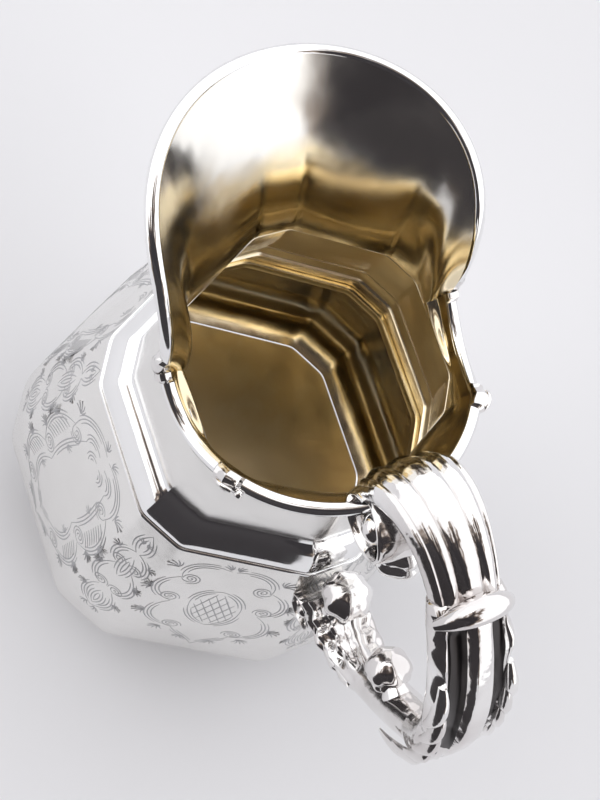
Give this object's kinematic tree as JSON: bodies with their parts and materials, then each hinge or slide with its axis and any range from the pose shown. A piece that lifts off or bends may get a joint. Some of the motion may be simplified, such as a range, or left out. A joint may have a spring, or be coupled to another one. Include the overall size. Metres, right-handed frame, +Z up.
{
  "type": "cream jug",
  "caption": "Twelve-sided pear-shaped silver cream jug with a moulded collar, helmet lip, scrolled rim and cast scroll handle; gilt inside.",
  "frame": {"origin": "centre of the underside of the foot, on the axis of the body", "axes": "+Z up along the body axis, +X towards the pouring lip, -X towards the handle, +Y to the left of a person holding the handle"},
  "size_m": [0.1079, 0.0888, 0.1414],
  "materials": {
    "sheet_silver": "polished raised silver sheet with fine engraving on the body panels",
    "polished_silver": "bright polished silver moulding",
    "cast_silver": "cast and chased silver, bright on high points and darker in recesses",
    "gilt_silver": "silver, gilt on the inside"
  },
  "bodies": {
    "root": {"body_shell": "sheet_silver", "base_plate": "gilt_silver", "foot_ring": "sheet_silver", "foot_edge": "polished_silver", "neck_seat_ring": "gilt_silver", "shoulder_collar": "polished_silver", "collar_wire": "polished_silver", "neck": "sheet_silver", "mouth_and_lip": "gilt_silver", "lip_moulding": "polished_silver", "rim_moulding_left": "polished_silver", "rim_moulding_right": "polished_silver", "rim_moulding_back": "polished_silver", "front_scroll_left": "cast_silver", "front_scroll_right": "cast_silver", "rear_scroll_left": "cast_silver", "rear_scroll_right": "cast_silver", "upper_volute": "cast_silver", "upper_volute_eyes": "cast_silver", "handle_upper_scroll": "cast_silver", "handle_leaf": "cast_silver", "handle_lower_scroll": "cast_silver", "lower_volute": "cast_silver", "lower_volute_eyes": "cast_silver", "underside_bud": "cast_silver", "knuckle_at_body": "cast_silver", "knuckle_at_bend": "cast_silver"}
  },
  "joints": []
}
